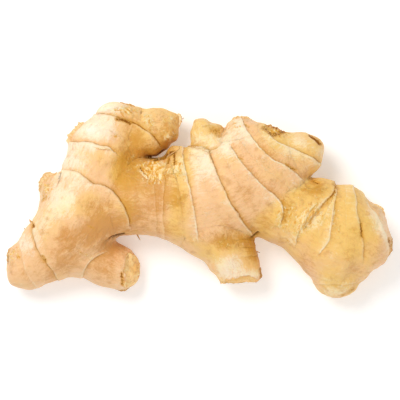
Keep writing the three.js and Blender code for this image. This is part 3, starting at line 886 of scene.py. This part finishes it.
class Nodes:
    """A short way to write a material's node tree."""

    def __init__(self, name):
        self.material = bpy.data.materials.new(name)
        self.material.use_nodes = True
        self.tree = self.material.node_tree
        self.shader = self.tree.nodes["Principled BSDF"]

    def put(self, socket, value):
        """Links value to the socket, or sets it. Colours get an alpha of 1."""
        if isinstance(value, bpy.types.NodeSocket):
            self.tree.links.new(value, socket)
        elif value is not None:
            socket.default_value = (*value, 1) if socket.type == "RGBA" else value

    def new(self, kind, output, inputs, **settings):
        """An output of a new node, with its settings and inputs given."""
        node = self.tree.nodes.new("ShaderNode" + kind)
        for name, value in settings.items():
            setattr(node, name, value)
        for socket, value in inputs.items():
            self.put(node.inputs[socket], value)
        return node.outputs[output]

    def attribute(self, name, output="Fac"):
        return self.new("Attribute", output, {}, attribute_name=name)

    def place(self):
        """The point on the object, in millimetres."""
        return self.stretch(self.new("TexCoord", "Object", {}), (1 / MM,) * 3)

    def stretch(self, vector, scale):
        return self.new("VectorMath", 0, {0: vector, 1: scale}, operation="MULTIPLY")

    def add(self, a, b):
        return self.new("VectorMath", 0, {0: a, 1: b}, operation="ADD")

    def math(self, operation, a, b=None, c=None):
        return self.new("Math", 0, {0: a, 1: b, 2: c}, operation=operation)

    def times(self, first, *others):
        for other in others:
            first = self.math("MULTIPLY", first, other)
        return first

    def varied(self, value, noise, amount):
        """value moved by noise, at most half of amount either way."""
        return self.math("MULTIPLY_ADD", self.math("SUBTRACT", noise, 0.5), amount, value)

    def spread(self, value, low, high, to_low=0.0, to_high=1.0):
        """A smooth rise or fall from to_low at low to to_high at high."""
        given = (value, low, high, to_low, to_high)
        return self.new("MapRange", 0, dict(enumerate(given)), interpolation_type="SMOOTHSTEP")

    def band(self, value, middle, inner, outer, top=1.0):
        """top where value is within inner of middle, falling to 0 at outer."""
        away = self.math("ABSOLUTE", self.math("SUBTRACT", value, middle))
        return self.spread(away, inner, outer, top, 0.0)

    def noise(self, vector, scale, detail=3.0, roughness=0.55):
        inputs = {"Vector": vector, "Scale": scale, "Detail": detail, "Roughness": roughness}
        return self.new("TexNoise", "Fac", inputs)

    def noise_vector(self, vector, scale):
        return self.new("TexNoise", "Color", {"Vector": vector, "Scale": scale})

    def cells(self, vector, scale, output="Distance"):
        return self.new("TexVoronoi", output, {"Vector": vector, "Scale": scale})

    def mix(self, share, a, b):
        return self.new("Mix", 2, {0: share, 6: a, 7: b}, data_type="RGBA")

    def bump(self, layers):
        """Layers of relief (height, strength, distance in metres), one on the other."""
        normal = None
        for height, strength, distance in layers:
            inputs = {"Height": height, "Strength": strength, "Distance": distance, "Normal": normal}
            normal = self.new("Bump", 0, inputs)
        return normal

    def finish(self, **sockets):
        for name, value in sockets.items():
            self.put(self.shader.inputs[name.replace("_", " ")], value)
        return self.material


def skin_fields(n):
    """The noise and the masks that the skin's colour and relief share."""
    f = SimpleNamespace(here=n.place())
    for name, noise in SKIN_NOISE.items():
        setattr(f, name, n.noise(f.here, *noise))
    drift = n.add(n.noise_vector(f.here, 0.16), (-0.5, -0.5, -0.5))
    f.grain = n.add(n.attribute("grain", "Vector"), n.stretch(drift, (5.0, 5.0, 5.0)))
    for name, (stretch, noise) in GRAIN_NOISE.items():
        setattr(f, name, n.noise(n.stretch(f.grain, stretch), *noise))
    f.dry = n.spread(n.varied(n.attribute("dry"), f.patches, 2.0), 0.2, 1.0, 0.12, 1.0)
    warp = n.stretch(n.noise_vector(f.here, 1.2), (1.6, 1.6, 1.6))
    cells = n.cells(n.add(n.stretch(f.grain, (0.4, 1.0, 1.0)), warp), 0.85, "Color")
    flakes = n.math("SUBTRACT", n.math("FRACT", n.math("MULTIPLY", cells, 7.0)), 0.5)
    f.flakes = n.times(flakes, n.math("MAXIMUM", f.dry, 0.3))
    f.edge = n.varied(n.attribute("ring_distance"), f.fray, 1.0)  # above 0 is a sheath's raised side
    f.rim, f.dark = n.attribute("ring_rim"), n.attribute("ring_dark")
    return f


def plain_skin(n, look, f):
    """Ochre, tan and cream in large patches with fibres through them, pinkish here and golden there. The
    palest patches are painted highlights, ochre also serves as painted shade, and the skin just under each
    sheath step is darkened as painted shade.
    """
    golden = n.spread(n.varied(n.attribute("golden"), f.golden, 3.0), -0.5, 0.9)
    tan = n.mix(golden, look.tan, look.gold)
    ochre = n.mix(golden, look.ochre, look.deep_gold)
    cream = n.mix(golden, look.cream, look.straw_cream)
    raised = n.spread(f.edge, -0.08, 0.08)
    # Paler skin on a sheath's raised side: partly fresher skin, partly a painted highlight on the lit step.
    fresh_and_lit = n.times(raised, f.rim, n.spread(f.edge, 0.0, 6.0, 1.0, 0.0))
    lower = n.math("SUBTRACT", 1.0, raised)
    # Painted shade: the skin just under a sheath's step is darkened, as in the step's shadow.
    shaded = n.times(n.math("MAXIMUM", f.rim, f.dark), n.spread(f.edge, -3.2, 0.0), lower)
    tone = n.math("MULTIPLY_ADD", fresh_and_lit, 0.9, n.attribute("tone"))
    tone = n.math("MULTIPLY_ADD", shaded, -0.6, tone)
    for name, amount in TONE_SHARES.items():
        tone = n.varied(tone, getattr(f, name), amount)
    tone = n.math("MULTIPLY_ADD", f.flakes, 1.5, tone)
    # Ochre at the darkest tones: the skin's older tone and also painted shade.
    colour = n.mix(n.spread(tone, -1.6, 0.0), ochre, tan)
    colour = n.mix(n.spread(tone, 0.1, 1.7), colour, cream)
    # Painted highlight: the palest patches go nearly white.
    colour = n.mix(n.spread(tone, 1.6, 3.2), colour, look.pale)
    return n.mix(n.spread(f.blotches, 0.54, 0.7, 0.0, 0.5), colour, look.blotch), cream


def freckled(n, look, f, colour):
    """Small brown marks where the skin is dry, and thin brown lines with the fibres."""
    freckles = n.spread(n.varied(n.cells(f.here, 0.8), f.grit, 0.8), 0.1, 0.32, 1.0, 0.0)
    colour = n.mix(n.times(freckles, f.dry, 0.6), colour, look.blotch)
    specks = n.times(n.spread(n.cells(f.here, 1.3), 0.06, 0.16, 1.0, 0.0), n.spread(f.mottle, 0.5, 0.62))
    colour = n.mix(n.times(specks, f.dry, 0.6), colour, look.line)
    thin = n.band(f.fibres, 0.47, 0.003, 0.018)
    return n.mix(n.times(thin, n.spread(f.patches, 0.5, 0.66, 0.0, 0.3)), colour, look.line)


def edged(n, look, f, colour):
    """A pale rim on a sheath's raised side, partly a painted highlight, and a broken brown line in a golden
    band of painted shade under it. The line is partly the sheath's brown edge and partly a painted shadow.
    """
    gaps = n.spread(f.gaps, 0.38, 0.62)
    # Pale rim: the pale sheath margin, partly a painted highlight on the step's lit edge.
    pale = n.times(n.band(f.edge, 0.34, 0.12, 0.42), f.rim, n.spread(gaps, 0.0, 1.0, 0.9, 0.2))
    colour = n.mix(pale, colour, look.rim)
    # Painted shade: a golden band under the step.
    colour = n.mix(n.times(n.band(f.edge, -0.3, 0.2, 1.3, 0.6), f.dark), colour, look.deep_gold)
    # Brown line under the edge: partly the sheath's edge, partly a painted shadow.
    under = n.times(n.band(f.edge, -0.16, 0.08, 0.36), f.dark, n.spread(gaps, 0.0, 1.0, 0.4, 1.0))
    return n.mix(under, colour, look.line), under


def hollowed(n, look, f, colour, cream):
    """Creases darkened with painted shade, paler crests, and dark folds of painted shade between the fingers.
    """
    cavity, depth = n.attribute("cavity"), n.attribute("fold_shade")
    # Painted shade in the creases.
    colour = n.mix(n.spread(cavity, 0.15, 1.0, 0.0, 0.6), colour, look.crease_shade)
    colour = n.mix(n.spread(cavity, -0.1, -0.8, 0.0, 0.3), colour, cream)
    # Painted shade in the folds.
    fold_shade = n.times(n.spread(n.varied(depth, f.grit, 0.9), 0.2, 0.8), n.spread(depth, 0.05, 0.3))
    return n.mix(n.times(fold_shade, 0.9), colour, look.fold_shade), fold_shade


def torn_open(n, look, f, colour):
    """Straw-coloured fibres over orange where the skin is torn."""
    mask = n.attribute("torn")
    torn = n.times(n.spread(n.varied(mask, f.mottle, 2.8), 0.35, 0.85), n.spread(mask, 0.1, 0.3))
    straw = n.mix(n.spread(f.strands, 0.40, 0.5), look.torn_shade, look.gold)
    straw = n.mix(n.spread(f.strands, 0.48, 0.6), straw, look.straw)
    return n.mix(n.times(torn, 0.85), colour, straw), torn


def snapped(n, look, f, colour, flesh):
    """Flesh at the broken ends, with a brown rim where the skin stops."""
    inside = n.mix(n.spread(f.clouds, 0.4, 0.6), look.flesh, look.flesh_pale)
    inside = n.mix(n.spread(f.mottle, 0.36, 0.5, 0.5, 0.0), inside, look.flesh_shade)
    inside = n.mix(n.spread(n.cells(f.here, 0.6), 0.08, 0.26, 0.3, 0.0), inside, look.flesh_shade)
    colour = n.mix(n.spread(flesh, 0.5, 0.75), colour, inside)
    rind = n.times(n.spread(flesh, 0.02, 0.4), n.spread(flesh, 0.6, 0.98, 1.0, 0.0))
    return n.mix(n.times(rind, n.spread(f.mottle, 0.4, 0.6, 0.1, 0.7)), colour, look.flesh_shade)


def scarred(n, look, f, colour):
    """Corky scars, stained golden around."""
    mask = n.attribute("scar")
    frayed = n.varied(mask, f.scar_fray, 2.2)
    stain = n.times(n.spread(frayed, -0.2, 0.6, 0.0, 0.75), n.spread(mask, 0.02, 0.3))
    colour = n.mix(stain, colour, look.deep_gold)
    scar = n.times(n.spread(frayed, 0.45, 0.95), n.spread(mask, 0.05, 0.3))
    return n.mix(n.times(scar, 0.95), colour, look.scar), scar


def skin_material(look):
    n = Nodes("ginger_skin")
    f = skin_fields(n)
    flesh = n.attribute("flesh")
    colour, cream = plain_skin(n, look, f)
    colour = freckled(n, look, f, colour)
    colour, under = edged(n, look, f, colour)
    colour, fold_shade = hollowed(n, look, f, colour, cream)
    colour, torn = torn_open(n, look, f, colour)
    colour = snapped(n, look, f, colour, flesh)
    colour, scar = scarred(n, look, f, colour)

    # Scars and torn skin are rougher. They, the brown lines with the painted shadow under the sheaths and the
    # painted shade in the folds hardly shine.
    roughness = n.spread(f.mottle, 0.3, 0.7, 0.38, 0.52)
    roughness = n.math("MAXIMUM", roughness, n.times(n.math("MAXIMUM", torn, scar), 0.75))
    dull = n.math("MAXIMUM", n.math("MAXIMUM", scar, under), n.math("MAXIMUM", fold_shade, torn))
    relief = n.bump([
        (f.mottle, 0.5, 0.00035),
        (f.fibres, 0.5, 0.00030),
        (n.times(f.wrinkles, n.spread(f.patches, 0.42, 0.66)), 0.6, 0.00050),
        (n.times(f.grit, f.dry), 0.6, 0.00045),
        (f.flakes, 0.6, 0.00022),
        (n.times(f.strands, torn), 0.6, 0.0004),
        (n.times(n.cells(f.here, 0.9), flesh), 0.6, 0.0003),
        (f.fine_fibres, 0.5, 0.00010),
        (n.times(n.spread(f.edge, -0.12, 0.12), f.rim), 0.7, 0.00035),
    ])
    return n.finish(
        Base_Color=colour, Roughness=roughness, Specular_IOR_Level=n.spread(dull, 0.0, 0.8, 0.45, 0.04),
        IOR=1.45, Subsurface_Weight=0.12, Subsurface_Radius=(1.0, 0.4, 0.14), Subsurface_Scale=0.0025,
        Normal=relief,
    )


def dry_material(name, look):
    """Papery scales and root fibres: streaks from shade to pale, with brown specks."""
    n = Nodes(name)
    streaks = n.noise(n.stretch(n.attribute("grain", "Vector"), (0.25, 1.0, 1.0)), 2.2, 4.0, 0.65)
    grit = n.noise(n.place(), 1.6, 4.0, 0.7)
    colour = n.mix(n.spread(streaks, 0.36, 0.62), look.shade, look.pale)
    brown = n.varied(n.attribute("wither"), grit, 1.4)
    colour = n.mix(n.spread(brown, 0.55, 1.1, 0.0, 0.9), colour, look.edge)
    return n.finish(
        Base_Color=colour, Roughness=n.spread(grit, 0.3, 0.7, 0.5, 0.7), Subsurface_Weight=0.1,
        Subsurface_Radius=(1.0, 0.45, 0.15), Subsurface_Scale=0.001,
        Normal=n.bump([(streaks, 0.7, 0.0003), (grit, 0.5, 0.0002)]),
    )


def floor_material(look):
    n = Nodes("pale_floor")
    grain = n.noise(n.place(), 0.4, 3.0, 0.6)
    colour = n.mix(n.spread(grain, 0.3, 0.7), tuple(c * 0.985 for c in look.floor), look.floor)
    white = (1.0, 1.0, 1.0)
    return n.finish(Base_Color=colour, Roughness=0.8, Emission_Color=white, Emission_Strength=look.floor_glow)


# ---------------------------------------------------------------------------
# Settings


def colour_property(name, description, default):
    return FloatVectorProperty(name=name, description=description, default=default, subtype="COLOR",
                               min=0.0, max=1.0)


class GingerRhizomeSettings(bpy.types.PropertyGroup):
    cell: FloatProperty(name="Mesh cell", description="Size of the even cells the skin is sculpted in",
                        default=0.00058, min=0.0003, max=0.002, unit="LENGTH")
    lump_height: FloatProperty(name="Lumps", description="How far the uneven swelling of the knuckles goes",
                               default=0.00075, min=0.0, max=0.003, unit="LENGTH")
    step_scale: FloatProperty(name="Sheath steps", description="Scale of the steps at the sheath edges",
                              default=1.0, min=0.0, max=3.0, subtype="FACTOR")
    cream: colour_property("Cream", "Palest skin where it is pinkish", (0.93, 0.76, 0.545))
    straw_cream: colour_property("Golden cream", "Palest skin where it is golden", (0.94, 0.755, 0.42))
    # Pale is a painted highlight: the skin reaches it only at the strongest pale patches.
    pale: colour_property("Pale", "Nearly white skin at the brightest patches", (0.96, 0.89, 0.74))
    # The rim's paleness is partly a painted highlight on the lit sheath edges.
    rim: colour_property("Rim", "Pale rim of a sheath", (0.98, 0.82, 0.55))
    tan: colour_property("Tan", "Middle tone of the skin where it is pinkish", (0.87, 0.53, 0.26))
    gold: colour_property("Gold", "Middle tone of the skin where it is golden", (0.87, 0.545, 0.15))
    # Ochre and deep gold are darker skin and also serve as painted shade under the sheath steps and in the
    # dark patches.
    ochre: colour_property("Ochre", "Warm tone of older skin", (0.66, 0.31, 0.082))
    deep_gold: colour_property("Deep gold", "Warm tone of older golden skin", (0.67, 0.325, 0.038))
    blotch: colour_property("Blotch", "Uneven brownish patches", (0.60, 0.28, 0.07))
    # The edge line is also the painted shadow under a sheath's step.
    line: colour_property("Edge line", "Brown line where a sheath ends", (0.36, 0.115, 0.006))
    # Painted shade in the creases between lobes.
    crease_shade: colour_property("Crease", "Tone in the creases between lobes", (0.48, 0.175, 0.012))
    straw: colour_property("Straw", "Dry fibres of torn skin", (1.0, 0.80, 0.47))
    torn_shade: colour_property("Torn shade", "Between the torn fibres", (0.68, 0.27, 0.014))
    flesh: colour_property("Flesh", "Broken ends of the fingers", (0.96, 0.57, 0.19))
    flesh_pale: colour_property("Pale flesh", "Dried parts of the broken ends", (1.0, 0.70, 0.32))
    flesh_shade: colour_property("Shaded flesh", "Between the fibres of the broken ends", (0.66, 0.29, 0.055))
    scar: colour_property("Scar", "Corky marks", (0.26, 0.080, 0.006))
    # Painted shade deep in the folds between the fingers.
    fold_shade: colour_property("Fold", "Deep between the fingers", (0.11, 0.036, 0.004))


class GingerScaleSettings(bpy.types.PropertyGroup):
    reach: FloatProperty(name="Reach", description="Scale of how far the papery scales stand off the skin",
                         default=1.0, min=0.0, max=3.0, subtype="FACTOR")
    pale: colour_property("Pale", "Thin dry sheath", (0.96, 0.78, 0.47))
    shade: colour_property("Shade", "Thicker parts of the sheath", (0.80, 0.50, 0.19))
    edge: colour_property("Edge", "Withered edges", (0.56, 0.27, 0.065))


class GingerRootletSettings(bpy.types.PropertyGroup):
    thickness: FloatProperty(name="Thickness", description="Scale of the root fibres' thickness",
                             default=1.0, min=0.1, max=3.0, subtype="FACTOR")
    pale: colour_property("Pale", "Bark of the root fibres", (0.78, 0.50, 0.20))
    shade: colour_property("Shade", "Darker bark", (0.48, 0.24, 0.07))
    edge: colour_property("Edge", "Dried tips", (0.16, 0.07, 0.025))


class GingerStageSettings(bpy.types.PropertyGroup):
    floor: colour_property("Floor", "Pale floor under the hand", (0.93, 0.93, 0.93))
    floor_glow: FloatProperty(name="Floor glow", description="Light through the floor, as on a light table",
                              default=0.2, min=0.0, subtype="FACTOR")
    camera_height: FloatProperty(name="Camera height", description="Height of the camera over the floor",
                                 default=0.75, min=0.3, max=3.0, unit="LENGTH")
    key_power: FloatProperty(name="Key light", description="Power of the soft light from the upper left",
                             default=2.44, min=0.0, unit="POWER")
    fill_power: FloatProperty(name="Fill light", description="Power of the soft light from the lower right",
                              default=0.95, min=0.0, unit="POWER")
    surround: FloatProperty(name="Surround", description="Strength of the white surround",
                            default=0.6, min=0.0, subtype="FACTOR")


# ---------------------------------------------------------------------------
# Operators


def show(name, points, faces, material, attributes):
    """A smooth-shaded object in metres that rides on the hand and wears the given material."""
    mesh = bpy.data.meshes.new(name)
    mesh.from_pydata((points * MM).tolist(), [], faces)
    mesh.materials.append(material)
    mesh.polygons.foreach_set("use_smooth", [True] * len(mesh.polygons))
    for label, kind, values in attributes:
        layer = mesh.attributes.new(label, kind, "POINT")
        slot = "vector" if kind == "FLOAT_VECTOR" else "value"
        layer.data.foreach_set(slot, np.asarray(values, np.float32).ravel())
    made = bpy.data.objects.new(name, mesh)
    bpy.context.scene.collection.objects.link(made)
    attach(made, "root")
    return made


def show_shells(name, shells, material):
    """Closed shells (points, faces, grain, wither) as one object, clear of the floor."""
    points, faces = stacked([shell[:2] for shell in shells])
    grain = np.vstack([shell[2] for shell in shells])
    wither = np.concatenate([shell[3] for shell in shells])
    points += CENTRING
    points[:, 2] = np.maximum(points[:, 2], FLOOR_GAP)
    show(name, points, faces, material, [("grain", "FLOAT_VECTOR", grain), ("wither", "FLOAT", wither)])


class GINGER_OT_rhizome(bpy.types.Operator):
    """Sculpt the hand of rhizome with its sheath edges, scars and broken ends"""

    bl_idname = "ginger.rhizome"
    bl_label = "Rhizome"

    def execute(self, context):
        look = context.scene.ginger_rhizome
        surface, masks, grain = sculpt(look.cell / MM, look.step_scale, look.lump_height / MM)
        attributes = [(name, "FLOAT", values) for name, values in masks.items()]
        attributes.append(("grain", "FLOAT_VECTOR", grain))
        rhizome = show("rhizome", surface.points, surface.quads.tolist(), skin_material(look), attributes)
        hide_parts("ginger_root")
        return {"FINISHED"}


class GINGER_OT_scales(bpy.types.Operator):
    """Grow the papery scales that stand off the skin"""

    bl_idname = "ginger.scales"
    bl_label = "Papery scales"

    def execute(self, context):
        look = context.scene.ginger_scales
        tree = skin_tree()
        scales = []
        for index, scale in enumerate(SCALES):
            grown = {**scale, "reach": scale["reach"] * look.reach}
            scales.append(papery_scale(tree, **grown, seed=SCALE_SEED + SEEDS_EACH * index))
        show_shells("papery_scales", scales, dry_material("dry_sheath", look))
        return {"FINISHED"}


class GINGER_OT_rootlets(bpy.types.Operator):
    """Grow the root fibres and the stubs of the cut roots"""

    bl_idname = "ginger.rootlets"
    bl_label = "Root fibres"

    def execute(self, context):
        look = context.scene.ginger_rootlets
        tree = skin_tree()
        rootlets = []
        for index, (foot, way, length, thickness) in enumerate(ROOTLETS):
            seed = ROOTLET_SEED + SEEDS_EACH * index
            rootlets.append(rootlet(tree, foot, way, length, thickness * look.thickness, seed))
        show_shells("root_fibres", rootlets, dry_material("root_bark", look))
        return {"FINISHED"}


class GINGER_OT_stage(bpy.types.Operator):
    """Set out the pale floor, the soft lights and the camera straight above"""

    bl_idname = "ginger.stage"
    bl_label = "Stage"

    FRAME_WIDTH = 0.1556  # what the camera sees across at half the hand's height
    HALF_HEIGHT = 0.016
    VIEW_MIDDLE = (0.00006, 0.0001)
    FLOOR_HALF = 3.0
    KEY = dict(place=(-0.26, 0.28, 0.56), size=0.34, colour=(1.0, 0.985, 0.96))
    FILL = dict(place=(0.26, -0.42, 0.5), size=0.5, colour=(1.0, 0.97, 0.93))

    def execute(self, context):
        look = context.scene.ginger_stage
        self.floor(look)
        self.light("key", look.key_power, **self.KEY)
        self.light("fill", look.fill_power, **self.FILL)
        self.surround(look)
        self.camera(look)
        context.scene.view_settings.view_transform = "Standard"
        context.scene.view_settings.look = "None"
        return {"FINISHED"}

    def placed(self, name, data):
        made = bpy.data.objects.new(name, data)
        bpy.context.scene.collection.objects.link(made)
        return made

    def floor(self, look):
        mesh = bpy.data.meshes.new("floor")
        half = self.FLOOR_HALF
        corners = [(-half, -half, 0), (half, -half, 0), (half, half, 0), (-half, half, 0)]
        mesh.from_pydata(corners, [], [(0, 1, 2, 3)])
        mesh.materials.append(floor_material(look))
        floor = self.placed("floor", mesh)

    def light(self, name, power, place, size, colour):
        light = bpy.data.lights.new(name, "AREA")
        light.shape = "DISK"
        light.size = size
        light.energy = power
        light.color = colour
        lamp = self.placed(name, light)
        lamp.location = place
        lamp.rotation_mode = "QUATERNION"
        lamp.rotation_quaternion = (-Vector(place)).to_track_quat("-Z", "Y")

    def surround(self, look):
        world = bpy.data.worlds.new("white_surround")
        world.use_nodes = True
        background = world.node_tree.nodes["Background"]
        background.inputs["Color"].default_value = (1.0, 1.0, 1.0, 1.0)
        background.inputs["Strength"].default_value = look.surround
        bpy.context.scene.world = world

    def camera(self, look):
        camera = bpy.data.cameras.new("camera")
        camera.lens = camera.sensor_width * (look.camera_height - self.HALF_HEIGHT) / self.FRAME_WIDTH
        camera.clip_start = 0.01
        camera.clip_end = 10
        seat = self.placed("camera", camera)
        seat.location = (*self.VIEW_MIDDLE, look.camera_height)
        bpy.context.scene.camera = seat


class GINGER_PT_panel(bpy.types.Panel):
    """Sizes, colours and the pieces of the ginger root"""

    bl_idname = "GINGER_PT_panel"
    bl_label = "Ginger Root"
    bl_space_type = "VIEW_3D"
    bl_region_type = "UI"
    bl_category = "Ginger"

    def draw(self, context):
        for operator, settings, group in STEPS:
            box = self.layout.box()
            box.operator(operator.bl_idname)
            for name in group.__annotations__:
                box.prop(getattr(context.scene, settings), name)


STEPS = [
    (GINGER_OT_rhizome, "ginger_rhizome", GingerRhizomeSettings),
    (GINGER_OT_scales, "ginger_scales", GingerScaleSettings),
    (GINGER_OT_rootlets, "ginger_rootlets", GingerRootletSettings),
    (GINGER_OT_stage, "ginger_stage", GingerStageSettings),
]
CLASSES = [group for _, _, group in STEPS] + [operator for operator, _, _ in STEPS] + [GINGER_PT_panel]


def register():
    for item in CLASSES:
        bpy.utils.register_class(item)
    for _, settings, group in STEPS:
        setattr(bpy.types.Scene, settings, PointerProperty(type=group))


def unregister():
    for _, settings, _ in STEPS:
        delattr(bpy.types.Scene, settings)
    for item in reversed(CLASSES):
        bpy.utils.unregister_class(item)


def main():
    register()
    bpy.ops.ginger.rhizome()
    bpy.ops.ginger.scales()
    bpy.ops.ginger.rootlets()
    bpy.ops.ginger.stage()


if __name__ == "__main__":
    main()
